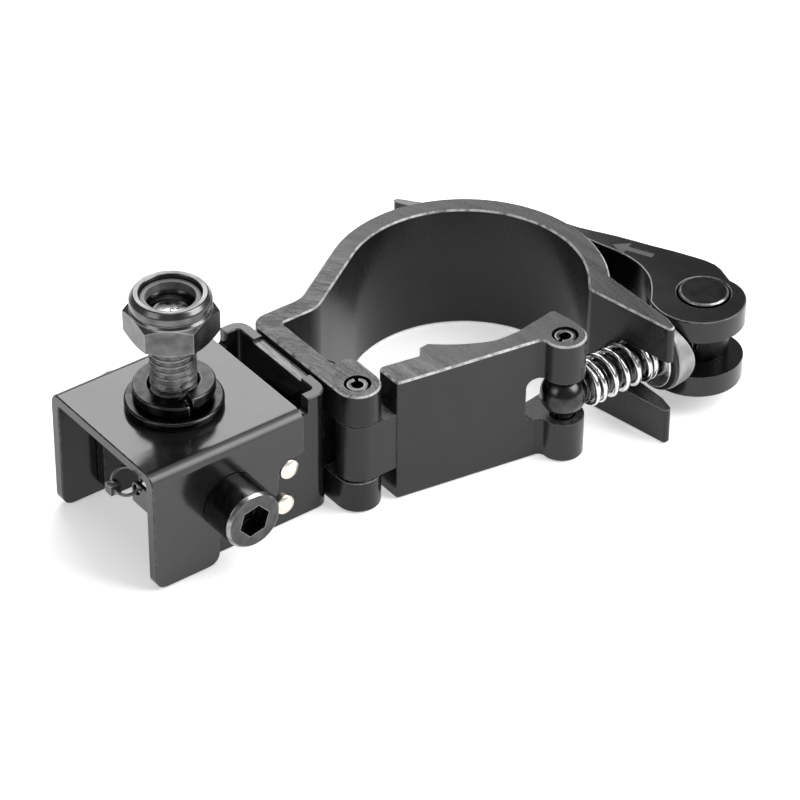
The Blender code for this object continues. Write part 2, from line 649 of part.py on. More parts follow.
def make_swivel_bolt():
    """Bolt through the bracket's web and the body's flat side."""
    y, z = SWIVEL
    head = WEB_X[0] - 0.2
    hexa, turned = hex_body("swivel_bolt", 13.0, head - 4.0, head, (0, y, z), "x", 30.0)
    ob = new_object("swivel_bolt", hexa, PARTS, (head, y, z))
    combine(ob, turned, "INTERSECT")
    end = LEFT_X + WALL + 7.0
    profile = [(0, head - 2), (M8_R, head - 2), (M8_R, end - 0.8), (M8_R - 0.8, end), (0, end)]
    combine(ob, lathe("shank", profile, (0, y, z), "x", 28), "UNION")
    finish(ob, ((0.05, 0.05, 0.05, 1), 0.9, 0.35))
    seat = (LEFT_X + WALL + 0.2, y, z)
    make_lock_nut("swivel_nut", 13.0, seat, "x", 8.0, M8_R + 0.1, 4.8, 10.0)


def make_ring_tag():
    """Small lug in the open end of the bracket, with a wire ring and its sleeve."""
    y = OUTER_Y[0] + SHEET + 0.1
    lug = fillet([(y, 17.2, 0.4), (-7.5, 17.2, 0.6), (-7.5, 22.7, 1.8), (y, 22.7, 0.4)])
    ob = new_object("ring_lug", prism("ring_lug", lug, -90.85, -89.95, axis="x", rim=0.15), PARTS,
                    (-91.0, y, 20.0))
    hang = Vector((-90.4, -9.2, 20.9))
    combine(ob, rod("ring_hole", 1.25, -93, -88, (0, hang.y, hang.z), "x", 16))
    finish(ob, (BLACK, 0.5, 0.35))
    r = 2.9
    away = Vector((-0.465, 0.765, 0.445)).normalized()
    side = Vector((0.742, 0.062, 0.668))
    side = (side - away * side.dot(away)).normalized()
    centre = hang + away * r
    points = []
    for i in range(28):
        a = math.tau * i / 28
        points.append(centre + away * (r * math.cos(a)) + side * (r * math.sin(a)))
    ob = new_object("wire_ring", wire("wire_ring", points, 0.38, cyclic=True), PARTS,
                    tuple(hang))
    sleeve = box("sleeve", (-1.2, -1.1, -1.1), (1.2, 1.1, 1.1))
    place = Matrix.Translation(centre + away * (r * 0.5) - side * (r * 0.87))
    sleeve.transform(place)
    combine(ob, sleeve, "UNION")
    finish(ob, ((0.2, 0.2, 0.2, 1), 1.0, 0.35))


def main():
    make_body()
    make_spring_pin("hinge_pin_left", LEFT_PIN)
    make_jaw()
    make_spring_pin("hinge_pin_right", RIGHT_PIN)
    make_eye_bolt()
    make_cam_barrel()
    make_tension_spring()
    make_saddle_stack()
    make_cam_lever()
    make_inner_bracket()
    make_stop_pins()
    make_outer_bracket()
    make_tilt_screw()
    make_yoke_bolt()
    make_washers()
    make_lock_nut("yoke_nut", 17.0, (*YOKE, NUT_Z), "z", 10.0, M10_R + 0.1, 6.3, 23.0)
    make_swivel_bolt()
    make_ring_tag()


clear_scene()
PARTS = collection("pipe_clamp")
TOOLS = collection("pipe_clamp_tools")
main()
bpy.context.view_layer.update()
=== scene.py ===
"""Looks of the pipe clamp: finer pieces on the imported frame, their materials, light and camera.

Lengths are in millimetres in the row frame and are scaled to metres as each mesh is made.
Most pieces are the frame's own solids with rounded edges. Screws, nuts, washers, the spring
and the pins are built again here, at the places and sizes that the frame's boxes give.
"""
import json
import math

import bmesh
import bpy
from mathutils import Matrix, Quaternion, Vector

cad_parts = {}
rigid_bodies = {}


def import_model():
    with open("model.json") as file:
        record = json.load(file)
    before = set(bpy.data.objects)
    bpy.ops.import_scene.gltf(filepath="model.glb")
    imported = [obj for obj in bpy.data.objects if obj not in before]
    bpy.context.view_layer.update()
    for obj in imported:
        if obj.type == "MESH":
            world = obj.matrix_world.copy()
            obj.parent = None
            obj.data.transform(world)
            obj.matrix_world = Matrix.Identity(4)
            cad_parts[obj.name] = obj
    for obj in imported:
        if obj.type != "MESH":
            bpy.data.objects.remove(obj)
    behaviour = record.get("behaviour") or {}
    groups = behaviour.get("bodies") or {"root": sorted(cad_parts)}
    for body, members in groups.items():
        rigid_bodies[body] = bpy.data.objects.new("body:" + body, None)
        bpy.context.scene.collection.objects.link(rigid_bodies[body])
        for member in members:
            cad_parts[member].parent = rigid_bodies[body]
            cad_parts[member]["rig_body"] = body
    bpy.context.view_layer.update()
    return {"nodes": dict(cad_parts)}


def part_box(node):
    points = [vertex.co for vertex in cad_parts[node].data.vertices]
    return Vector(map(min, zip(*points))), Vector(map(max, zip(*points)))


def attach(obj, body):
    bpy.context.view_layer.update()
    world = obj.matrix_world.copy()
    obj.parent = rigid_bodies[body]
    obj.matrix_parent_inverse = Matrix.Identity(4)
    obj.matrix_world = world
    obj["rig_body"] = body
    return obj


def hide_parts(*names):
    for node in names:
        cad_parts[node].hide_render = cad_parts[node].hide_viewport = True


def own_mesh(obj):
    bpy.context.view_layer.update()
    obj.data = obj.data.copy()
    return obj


MM = 0.001

# ------------------------------------------------------------------- settings
CAMERA_AZIMUTH = -37.1         # degrees, 0 looks along +Y
CAMERA_ELEVATION = 36.6
CAMERA_ROLL = 0.28
CAMERA_AIM = (-21.33, -4.90, 10.0)
CAMERA_DISTANCE = 839.6
CAMERA_LENS = 178.6

FLOOR_GLOW = 0.45
WORLD_GLOW = 0.22
FLOOR_SIDE = 4.0               # half the floor's width, in metres
FLOOR_DROP = 0.0002            # how far the floor lies below the part, in metres

FINE = 96                      # sides of a turned piece
THREAD_SIDES = 48              # steps in one turn of a thread
THREAD_DEPTH = 0.61            # depth of a thread, as a share of its pitch
THREAD_SLOPE = 1.2             # how fast a rod's turned-down end reaches full size
WIRE_RESOLUTION = 3            # roundness of a wire's section
CORNER_DEG = 28.0              # slope of the turned-down corners of a hexagon
M8_RADIUS = 3.9
M8_PITCH = 1.25
M8_FLATS = 13.0
M10_RADIUS = 4.9
M10_PITCH = 1.5
M10_FLATS = 17.0
YOKE_HEAD_FLATS = 16.0
SOCKET_FLATS = 6.3
PIN_SLIT_DEG = 26.0            # slit of the rolled spring pins
WASHER_BORE_R = 5.25
SPLIT_DEG = -98.0              # high end of the split washer
SPLIT_SWEEP = 356.0
SPLIT_WIDTH = 3.2
SPLIT_THICK = 2.5
SPRING_TURNS = 6.8
SPRING_CLOSED_TURNS = 1.15     # turns that lie close together at each end
SPRING_WIRE_R = 0.6
SLIDE_BORE_R = 4.25            # bore of what slides on the swing bolt
CAM_SEAT_R = 12.3              # hollow of the saddle that the cam runs in

AXIS_TO = {
    "z": Matrix.Identity(4),
    "x": Matrix(((0, 0, 1, 0), (1, 0, 0, 0), (0, 1, 0, 0), (0, 0, 0, 1))),
    "y": Matrix(((1, 0, 0, 0), (0, 0, 1, 0), (0, 1, 0, 0), (0, 0, 0, 1))),
}


# ------------------------------------------------------------ frame, in mm
def span(node):
    """Lowest and highest corner of a node of the frame."""
    low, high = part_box(node)
    return low / MM, high / MM


def middle(node):
    low, high = span(node)
    return (low + high) / 2.0


def body_of(node):
    return frame["nodes"][node]["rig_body"]


# ------------------------------------------------------------------- meshes
def polar(r, deg):
    a = math.radians(deg)
    return r * math.cos(a), r * math.sin(a)


def rounded(profile, radii, seg=5):
    """Round the inner corners of an open (r, h) profile; radii go with its points."""
    out = [tuple(profile[0])]
    for before, at, after, radius in zip(profile, profile[1:], profile[2:], radii[1:]):
        here = Vector(at)
        if radius <= 0.0:
            out.append(tuple(here))
            continue
        back = (Vector(before) - here).normalized()
        ahead = (Vector(after) - here).normalized()
        half = back.angle(ahead) / 2.0
        reach = radius / math.tan(half)
        centre = here + (back + ahead).normalized() * (radius / math.sin(half))
        start = here + back * reach - centre
        turn = start.angle_signed(here + ahead * reach - centre)
        for k in range(seg + 1):
            step = start.copy()
            step.rotate(Matrix.Rotation(-turn * k / seg, 2))
            out.append(tuple(centre + step))
    out.append(tuple(profile[-1]))
    return out


def turned(profile, steps=FINE, closed=False, sweep=360.0, start=0.0):
    """Surface of revolution about Z; closed joins the profile's ends into a ring."""
    bm = bmesh.new()
    whole = abs(sweep - 360.0) < 1e-6
    count = steps if whole else steps + 1
    rows = []
    for i in range(count):
        a = math.radians(start + sweep * i / steps)
        rows.append([bm.verts.new((r * math.cos(a), r * math.sin(a), h)) for r, h in profile])
    n = len(profile)
    spans = n if closed else n - 1
    for i in range(count if whole else count - 1):
        one, two = rows[i], rows[(i + 1) % count]
        for k in range(spans):
            bm.faces.new((one[k], two[k], two[(k + 1) % n], one[(k + 1) % n]))
    if not whole:
        bm.faces.new(rows[0])
        bm.faces.new(list(reversed(rows[-1])))
    bmesh.ops.remove_doubles(bm, verts=bm.verts, dist=1e-5)
    bmesh.ops.recalc_face_normals(bm, faces=bm.faces)
    return bm


def prism(outline, low, high):
    """Closed straight solid of a flat outline."""
    bm = bmesh.new()
    face = bm.faces.new([bm.verts.new((x, y, low)) for x, y in outline])
    top = bmesh.ops.extrude_face_region(bm, geom=[face])["geom"]
    moved = [g for g in top if isinstance(g, bmesh.types.BMVert)]
    bmesh.ops.translate(bm, verts=moved, vec=(0.0, 0.0, high - low))
    bmesh.ops.recalc_face_normals(bm, faces=bm.faces)
    return bm


def hexagon(flats, turn=0.0):
    return [polar(flats / math.sqrt(3.0), 60.0 * i + turn) for i in range(6)]


def threaded_rod(radius, pitch, low, high, lead_in):
    """Rod with a real helical thread, its ends turned down by lead_in."""
    depth = THREAD_DEPTH * pitch
    section = [(0.0, 0.0), (0.10, 0.0), (0.44, 1.0), (0.56, 1.0), (0.90, 0.0), (1.0, 0.0)]
    turns = int((high - low) / pitch) + 2
    bm = bmesh.new()
    rows = []
    for k in range(turns * THREAD_SIDES + 1):
        a = math.tau * k / THREAD_SIDES
        base = low - pitch + pitch * k / THREAD_SIDES
        row = []
        for along, up in section:
            z = min(max(base + pitch * along, low), high)
            edge = radius - lead_in + min(z - low, high - z) * THREAD_SLOPE
            r = min(radius - depth + depth * up, max(edge, radius - lead_in))
            row.append(bm.verts.new((r * math.cos(a), r * math.sin(a), z)))
        rows.append(row)
    for one, two in zip(rows, rows[1:]):
        for k in range(len(section) - 1):
            bm.faces.new((one[k], two[k], two[k + 1], one[k + 1]))
    bmesh.ops.remove_doubles(bm, verts=bm.verts, dist=2e-3)
    bmesh.ops.dissolve_degenerate(bm, dist=1e-4, edges=bm.edges)
    for z in (low, high):
        rim = radius - lead_in - 0.01
        ring = [bm.verts.new((*polar(rim, 360.0 * i / THREAD_SIDES), z)) for i in range(THREAD_SIDES)]
        bm.faces.new(ring if z == high else list(reversed(ring)))
    return bm


def tube(points, radius):
    """Round wire through points, closed at both ends."""
    curve = bpy.data.curves.new("wire", "CURVE")
    curve.dimensions = "3D"
    curve.bevel_depth = radius
    curve.bevel_resolution = WIRE_RESOLUTION
    curve.use_fill_caps = True
    spline = curve.splines.new("POLY")
    spline.points.add(len(points) - 1)
    for point, co in zip(spline.points, points):
        point.co = (*co, 1.0)
    holder = bpy.data.objects.new("wire", curve)
    bpy.context.scene.collection.objects.link(holder)
    graph = bpy.context.evaluated_depsgraph_get()
    mesh = bpy.data.meshes.new_from_object(holder.evaluated_get(graph))
    bpy.data.objects.remove(holder, do_unlink=True)
    bm = bmesh.new()
    bm.from_mesh(mesh)
    bmesh.ops.remove_doubles(bm, verts=bm.verts, dist=1e-5)
    return bm


def joined(*parts):
    """One mesh that holds several."""
    bm = bmesh.new()
    for part in parts:
        mesh = bpy.data.meshes.new("part")
        part.to_mesh(mesh)
        part.free()
        bm.from_mesh(mesh)
        bpy.data.meshes.remove(mesh)
    return bm


def turned_to(bm, axis, place=(0.0, 0.0, 0.0)):
    """Turn a mesh made about Z onto an axis and set it at place."""
    bmesh.ops.transform(bm, matrix=AXIS_TO[axis], verts=bm.verts)
    if axis != "z":
        bmesh.ops.recalc_face_normals(bm, faces=bm.faces)
    bmesh.ops.translate(bm, verts=bm.verts, vec=Vector(place))
    return bm


def cut(bm, tool, how="DIFFERENCE"):
    """Boolean of two meshes, with the exact solver."""
    holders = []
    for part in (bm, tool):
        mesh = bpy.data.meshes.new("part")
        part.to_mesh(mesh)
        part.free()
        holder = bpy.data.objects.new("part", mesh)
        bpy.context.scene.collection.objects.link(holder)
        holders.append(holder)
    mod = holders[0].modifiers.new("Boolean", "BOOLEAN")
    mod.operation = how
    mod.solver = "EXACT"
    mod.object = holders[1]
    graph = bpy.context.evaluated_depsgraph_get()
    mesh = bpy.data.meshes.new_from_object(holders[0].evaluated_get(graph))
    for holder in holders:
        bpy.data.objects.remove(holder, do_unlink=True)
    out = bmesh.new()
    out.from_mesh(mesh)
    return out


# ------------------------------------------------------------------- pieces
def piece(name, bm, material, stands_for, bevel=0.0, segments=2, angle=30.0):
    """Make a shown piece in metres that rides on the body of the node it replaces."""
    mesh = bpy.data.meshes.new(name)
    bm.to_mesh(mesh)
    bm.free()
    mesh.transform(Matrix.Scale(MM, 4))
    for face in mesh.polygons:
        face.use_smooth = True
    ob = bpy.data.objects.new(name, mesh)
    bpy.context.scene.collection.objects.link(ob)
    mesh.materials.append(material)
    if bevel > 0.0:
        mod = ob.modifiers.new("Edges", "BEVEL")
        mod.width = bevel * MM
        mod.segments = segments
        mod.limit_method = "ANGLE"
        mod.angle_limit = math.radians(angle)
        mod.use_clamp_overlap = True
        mod.harden_normals = False
        flat = ob.modifiers.new("Normals", "WEIGHTED_NORMAL")
        flat.keep_sharp = True
    else:
        mesh.set_sharp_from_angle(angle=math.radians(angle))
    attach(ob, body_of(stands_for))
    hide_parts(stands_for)
    return ob


def solid_of(node):
    """The frame's own solid, welded, with flat areas as single faces."""
    bm = bmesh.new()
    bm.from_mesh(frame["nodes"][node].data)
    bmesh.ops.scale(bm, vec=Vector((1.0, 1.0, 1.0)) / MM, verts=bm.verts)
    bmesh.ops.remove_doubles(bm, verts=bm.verts, dist=1e-3)
    bmesh.ops.dissolve_limit(bm, angle_limit=math.radians(0.4), verts=bm.verts, edges=bm.edges)
    bmesh.ops.recalc_face_normals(bm, faces=bm.faces)
    return bm


# ---------------------------------------------------------------- materials
class Shader:
    """A Principled material, with short calls for the nodes that drive it."""

    def __init__(self, name, **constants):
        self.mat = bpy.data.materials.new(name)
        self.mat.use_nodes = True
        self.tree = self.mat.node_tree
        self.bsdf = self.tree.nodes["Principled BSDF"]
        for socket, value in constants.items():
            self.bsdf.inputs[socket.replace("_", " ")].default_value = value
        coords = self.tree.nodes.new("ShaderNodeTexCoord")
        self.normal = coords.outputs["Normal"]
        self.place = self.vector("SCALE", coords.outputs["Object"], scale=1.0 / MM)

    def put(self, socket, value):
        """Link an output to a socket, or set the socket to a plain value."""
        if isinstance(value, bpy.types.NodeSocket):
            self.tree.links.new(value, socket)
        else:
            socket.default_value = value

    def vector(self, operation, first, second=None, scale=None):
        node = self.tree.nodes.new("ShaderNodeVectorMath")
        node.operation = operation
        self.put(node.inputs[0], first)
        if second is not None:
            self.put(node.inputs[1], second)
        if scale is not None:
            node.inputs["Scale"].default_value = scale
        return node.outputs["Value" if operation in ("LENGTH", "DOT_PRODUCT") else "Vector"]

    def math(self, operation, first, second=0.0, third=0.0, clamp=False):
        node = self.tree.nodes.new("ShaderNodeMath")
        node.operation = operation
        node.use_clamp = clamp
        for socket, value in zip(node.inputs, (first, second, third)):
            self.put(socket, value)
        return node.outputs[0]

    def split(self, vector):
        node = self.tree.nodes.new("ShaderNodeSeparateXYZ")
        self.put(node.inputs[0], vector)
        return node.outputs[0], node.outputs[1], node.outputs[2]

    def join(self, x, y, z):
        node = self.tree.nodes.new("ShaderNodeCombineXYZ")
        for socket, value in zip(node.inputs, (x, y, z)):
            self.put(socket, value)
        return node.outputs[0]

    def stretched(self, x, y, z):
        """The place with each direction scaled, for grain that runs one way."""
        return self.vector("MULTIPLY", self.place, (x, y, z))

    def noise(self, vector, scale, detail=3.0, roughness=0.55):
        node = self.tree.nodes.new("ShaderNodeTexNoise")
        self.put(node.inputs["Vector"], vector)
        node.inputs["Scale"].default_value = scale
        node.inputs["Detail"].default_value = detail
        node.inputs["Roughness"].default_value = roughness
        return node.outputs["Fac"]

    def span(self, value, low, high, to_low=0.0, to_high=1.0, smooth=False):
        """Map a value from one range to another and hold it there."""
        node = self.tree.nodes.new("ShaderNodeMapRange")
        node.interpolation_type = "SMOOTHSTEP" if smooth else "LINEAR"
        for socket, number in zip(node.inputs[:5], (value, low, high, to_low, to_high)):
            self.put(socket, number)
        return node.outputs[0]

    def blend(self, share, first, second):
        """Colour between two colours, each a grey number, a colour or an output."""
        node = self.tree.nodes.new("ShaderNodeMix")
        node.data_type = "RGBA"
        self.put(node.inputs["Factor"], share)
        for socket, value in ((node.inputs[6], first), (node.inputs[7], second)):
            self.put(socket, grey(value) if isinstance(value, float) else value)
        return node.outputs[2]

    def edges(self, width):
        """1 along edges and 0 on open faces, from how a rounded normal differs."""
        rounded_normal = self.tree.nodes.new("ShaderNodeBevel")
        rounded_normal.samples = 4
        rounded_normal.inputs["Radius"].default_value = width * MM
        shape = self.tree.nodes.new("ShaderNodeNewGeometry")
        along = self.vector("DOT_PRODUCT", rounded_normal.outputs[0], shape.outputs["True Normal"])
        return self.span(self.math("SUBTRACT", 1.0, along), 0.004, 0.07)

    def bump(self, height, depth, under=None):
        """Bump of a given depth in mm, on top of another bump if one is given."""
        node = self.tree.nodes.new("ShaderNodeBump")
        node.inputs["Distance"].default_value = depth * MM
        self.put(node.inputs["Height"], height)
        if under is not None:
            self.put(node.inputs["Normal"], under)
        return node.outputs[0]

    def finish(self, colour, roughness, normal):
        self.put(self.bsdf.inputs["Base Color"], colour)
        self.put(self.bsdf.inputs["Roughness"], roughness)
        self.put(self.bsdf.inputs["Normal"], normal)
        return self.mat


def grey(value):
    return (value, value, value, 1.0)


def extrusion(name, blade, fade, gloss):
    """Black anodised extrusion: satin drawn walls and saw-cut end faces.

    blade is the x, y of the saw's centre, about which the cut marks curve.
    fade is the range of x over which the marks turn into plain grain and the cut faces go darker, a painted
    sheen that is lightest at low x.
    """
    s = Shader(name, Specular_IOR_Level=gloss)
    end_face = s.span(s.math("ABSOLUTE", s.split(s.normal)[2]), 0.80, 0.97)

    drawn = s.noise(s.stretched(1.0, 1.0, 0.025), 3.0, 4.0)
    skin = s.noise(s.place, 4.5, 2.0)
    cloud = s.noise(s.place, 0.09, 3.0)
    wall_rough = s.span(s.math("ADD", cloud, s.math("MULTIPLY", drawn, 0.35)), 0.4, 0.95, 0.22, 0.32)
    wall_colour = s.blend(s.span(cloud, 0.35, 0.7), 0.006, 0.011)
    wall_bump = s.bump(drawn, 0.0015, s.bump(skin, 0.0008))

    x, y, _ = s.split(s.vector("SUBTRACT", s.place, (*blade, 0.0)))
    far = s.math("SQRT", s.math("ADD", s.math("MULTIPLY", x, x), s.math("MULTIPLY", y, y)))
    turn = s.math("ARCTAN2", y, x)
    lines = s.noise(s.join(s.math("MULTIPLY", far, 1.9), s.math("MULTIPLY", turn, 9.0), 0.0), 1.0, 5.0, 0.8)
    bands = s.noise(s.join(s.math("MULTIPLY", far, 0.35), s.math("MULTIPLY", turn, 2.0), 3.0), 1.0, 3.0)
    grain = s.noise(s.place, 2.6, 5.0, 0.75)
    specks = s.span(s.noise(s.place, 5.0, 2.0), 0.60, 0.72)
    # Painted sheen: the cut faces are painted lighter at low x and darker towards high x, and their saw
    # marks fade the same way.
    marks_and_sheen = s.span(s.split(s.place)[0], fade[0], fade[1], 1.0, 0.35, smooth=True)
    cut_lines = s.math("MULTIPLY_ADD", s.math("SUBTRACT", lines, 0.5), marks_and_sheen, 0.5)
    tone = s.math("MULTIPLY_ADD", s.math("SUBTRACT", bands, 0.5), 0.45, cut_lines)
    tone = s.math("MULTIPLY_ADD", s.math("SUBTRACT", grain, 0.5), 0.8, tone)
    # bright is the tone of the painted sheen on the cut faces, highest at low x.
    bright = s.blend(marks_and_sheen, 0.030, 0.17)
    cut_colour = s.blend(s.span(tone, 0.39, 0.63), 0.004, bright)
    cut_colour = s.blend(s.math("MULTIPLY", specks, 0.35), cut_colour, 0.14)
    cut_rough = s.span(tone, 0.38, 0.64, 0.26, 0.42)
    cut_bump = s.bump(cut_lines, 0.11, s.bump(grain, 0.05))

    worn = s.math("MULTIPLY", s.edges(0.3), s.span(s.noise(s.place, 1.6, 4.0), 0.34, 0.54))
    colour = s.blend(end_face, wall_colour, cut_colour)
    # Rims painted lighter: a painted highlight along the sloped chamfers, partly worn bare metal.
    tilt = s.math("ABSOLUTE", s.split(s.normal)[2])
    rim = s.math("MULTIPLY", s.span(tilt, 0.25, 0.5), s.span(tilt, 0.92, 0.8))
    rim = s.math("MULTIPLY", rim, s.span(s.noise(s.place, 0.5, 5.0, 0.7), 0.38, 0.55, 0.25, 1.0))
    colour = s.blend(s.math("MULTIPLY", worn, 0.35), colour, 0.20)
    colour = s.blend(rim, colour, 0.50)
    rough = s.math("MULTIPLY_ADD", s.math("SUBTRACT", cut_rough, wall_rough), end_face, wall_rough)
    mix = s.tree.nodes.new("ShaderNodeMix")
    mix.data_type = "VECTOR"
    s.put(mix.inputs["Factor"], end_face)
    s.put(mix.inputs[4], wall_bump)
    s.put(mix.inputs[5], cut_bump)
    return s.finish(colour, rough, mix.outputs[1])


def plated_sheet(name, rubbed=None, gloss=0.62):
    """Glossy black plated sheet.

    rubbed is the height above which the skin is thin and the y range of that strip.
    """
    s = Shader(name, Specular_IOR_Level=gloss, Coat_Weight=0.1, Coat_Roughness=0.10)
    smear = s.noise(s.stretched(0.25, 1.0, 1.0), 0.5, 4.0)
    fine = s.noise(s.place, 6.0, 3.0)
    cloud = s.noise(s.place, 0.12, 4.0, 0.6)
    colour = s.blend(s.span(cloud, 0.3, 0.7), 0.005, 0.012)
    rough = s.span(s.math("MULTIPLY_ADD", fine, 0.2, smear), 0.4, 0.85, 0.12, 0.22)
    _, side, up = s.split(s.normal)
    fold_sheen = s.math("MULTIPLY", s.math("ABSOLUTE", side), s.math("ABSOLUTE", up))
    fold_sheen = s.span(fold_sheen, 0.10, 0.40, smooth=True)
    rough = s.math("MULTIPLY_ADD", fold_sheen, 0.20, rough)
    # Bends painted lighter: a painted highlight spread over the fold, on top of their rougher finish.
    colour = s.blend(fold_sheen, colour, s.blend(fine, 0.02, 0.06))
    worn = s.math("MULTIPLY", s.edges(0.4), s.span(s.noise(s.place, 1.1, 5.0), 0.42, 0.62))
    colour = s.blend(s.math("MULTIPLY", worn, 0.55), colour, 0.22)
    if rubbed is not None:
        above, low, high = rubbed
        _, y, z = s.split(s.place)
        strip = s.math("MULTIPLY", s.span(y, low, low + 0.6), s.span(y, high, high - 0.6))
        strip = s.math("MULTIPLY", strip, s.span(z, above - 0.3, above))
        scuffs = s.span(s.noise(s.stretched(2.0, 0.25, 1.0), 0.8, 5.0), 0.36, 0.56)
        colour = s.blend(s.math("MULTIPLY", strip, scuffs), colour, 0.14)
    bump = s.bump(smear, 0.02, s.bump(fine, 0.002))
    return s.finish(colour, rough, bump)


def satin_paint(name, etched=None):
    """Satin black paint with a fine orange peel, worn thin at the edges, and rims painted lighter as a
    painted highlight together with worn paint.

    etched is the height of the upper face and the depth of marks cut through its paint.
    """
    s = Shader(name, Specular_IOR_Level=0.45, Coat_Weight=0.15, Coat_Roughness=0.14)
    peel = s.noise(s.place, 1.5, 2.0)
    fine = s.noise(s.place, 7.0, 2.0)
    cloud = s.noise(s.place, 0.1, 3.0)
    rough = s.span(s.math("MULTIPLY_ADD", fine, 0.25, cloud), 0.35, 0.9, 0.15, 0.24)
    worn = s.math("MULTIPLY", s.edges(0.3), s.span(s.noise(s.place, 1.4, 4.0), 0.45, 0.65))
    colour = s.blend(s.span(cloud, 0.35, 0.65), 0.004, 0.008)
    colour = s.blend(s.math("MULTIPLY", worn, 0.35), colour, 0.20)
    # Rims painted lighter: a painted highlight along the sloped edges, partly worn paint.
    tilt = s.math("ABSOLUTE", s.split(s.normal)[2])
    rim = s.math("MULTIPLY", s.span(tilt, 0.25, 0.5), s.span(tilt, 0.95, 0.85))
    rim = s.math("MULTIPLY", rim, s.span(s.noise(s.place, 0.5, 5.0, 0.7), 0.38, 0.55, 0.15, 1.0))
    colour = s.blend(rim, colour, 0.34)
    if etched is not None:
        top, depth = etched
        z = s.split(s.place)[2]
        below_paint = s.span(z, top - 0.02, top - 0.06)
        above_floor = s.span(z, top - depth - 0.1, top - depth - 0.02)
        floor = s.math("MULTIPLY", below_paint, above_floor)
        floor = s.math("MULTIPLY", floor, s.span(s.split(s.normal)[2], 0.5, 0.9))
        colour = s.blend(floor, colour, s.blend(fine, 0.05, 0.15))
    return s.finish(colour, rough, s.bump(peel, 0.012, s.bump(fine, 0.004)))


def metal(name, tones, roughness, grain=(1.0, 1.0, 1.0), depth=0.006, patches=0.35, edge=None):
    """Bare or plated metal: two tones in patches, a fine grain and bright edges."""
    s = Shader(name, Metallic=1.0)
    fine = s.noise(s.stretched(*grain), 5.0, 4.0, 0.65)
    patch = s.noise(s.place, patches, 5.0, 0.6)
    colour = s.blend(s.span(patch, 0.36, 0.64), tones[0], tones[1])
    if edge is not None:
        colour = s.blend(s.math("MULTIPLY", s.edges(0.35), 0.7), colour, edge)
    rough = s.span(s.math("MULTIPLY_ADD", fine, 0.5, patch), 0.45, 1.0, roughness[0], roughness[1])
    return s.finish(colour, rough, s.bump(fine, depth))


def moulded(name, tones, roughness):
    """Nylon: fine matt skin with faint flow marks."""
    s = Shader(name)
    fine = s.noise(s.place, 8.0, 3.0)
    flow = s.noise(s.place, 0.6, 3.0)
    colour = s.blend(s.span(flow, 0.35, 0.65), tones[0], tones[1])
    rough = s.span(s.math("MULTIPLY_ADD", fine, 0.4, flow), 0.4, 0.9, roughness[0], roughness[1])
    return s.finish(colour, rough, s.bump(fine, 0.006, s.bump(flow, 0.02)))


def die_cast(name):
    """Matt grey casting with grain, pits and rubbed edges."""
    s = Shader(name, Metallic=0.7)
    grain = s.noise(s.place, 4.0, 6.0, 0.75)
    pits = s.span(s.noise(s.place, 2.1, 3.0), 0.30, 0.40)
    patch = s.noise(s.place, 0.25, 4.0)
    colour = s.blend(s.span(s.math("MULTIPLY_ADD", grain, 0.6, patch), 0.55, 1.0), 0.22, 0.40)
    colour = s.blend(s.math("MULTIPLY", s.edges(0.5), 0.5), colour, 0.55)
    rough = s.span(grain, 0.3, 0.7, 0.40, 0.58)
    return s.finish(colour, rough, s.bump(grain, 0.03, s.bump(pits, 0.03)))


def turned_face(name, axis, centre, tones, roughness, ring_pitch, edge, flat=None):
    """Metal whose faces square to an axis show fine turned rings about a centre.

    Its turned-down rims are painted toward the edge tone, a painted highlight together with rubbed wear;
    flat is the tone of the square faces.
    """
    s = Shader(name, Metallic=1.0)
    across = [k for k in range(3) if k != "xyz".index(axis)]
    shifted = s.split(s.vector("SUBTRACT", s.place, tuple(centre)))
    u, v = shifted[across[0]], shifted[across[1]]
    far = s.math("SQRT", s.math("ADD", s.math("MULTIPLY", u, u), s.math("MULTIPLY", v, v)))
    along = s.math("ABSOLUTE", s.split(s.normal)["xyz".index(axis)])
    square = s.span(along, 0.85, 0.97)
    rim = s.math("MULTIPLY", s.span(along, 0.2, 0.45), s.span(along, 0.95, 0.85))
    rings = s.noise(s.join(s.math("MULTIPLY", far, 1.0 / ring_pitch), 0.0, 0.0), 1.0, 3.0, 0.6)
    fine = s.noise(s.place, 6.0, 4.0)
    patch = s.noise(s.place, 0.4, 4.0)
    height = s.math("MULTIPLY", rings, square)
    colour = s.blend(s.span(s.math("MULTIPLY_ADD", height, 0.25, patch), 0.38, 0.75), tones[0], tones[1])
    if flat is not None:
        stained = s.blend(s.span(s.noise(s.place, 0.9, 4.0, 0.7), 0.42, 0.50), flat * 0.2, flat)
        colour = s.blend(square, colour, stained)
    # Rims painted toward the edge tone: a painted highlight, with rubbed edges added from the edge mask.
    rim = s.math("MULTIPLY", rim, s.span(s.noise(s.place, 0.6, 4.0), 0.36, 0.55, 0.2, 1.0))
    colour = s.blend(s.math("MULTIPLY", s.math("MAXIMUM", rim, s.edges(0.3)), 0.75), colour, edge)
    rough = s.span(s.math("MULTIPLY_ADD", fine, 0.4, patch), 0.4, 0.9, roughness[0], roughness[1])
    return s.finish(colour, rough, s.bump(height, 0.02, s.bump(fine, 0.004)))


def floor_paper(name):
    """White translucent sheet of a light table."""
    s = Shader(name, Specular_IOR_Level=0.2, Emission_Color=grey(1.0), Emission_Strength=FLOOR_GLOW)
    fibre = s.noise(s.place, 1.2, 4.0)
    colour = s.blend(s.span(fibre, 0.3, 0.7), 0.90, 0.92)
    return s.finish(colour, s.span(fibre, 0.3, 0.7, 0.55, 0.65), s.bump(fibre, 0.01))


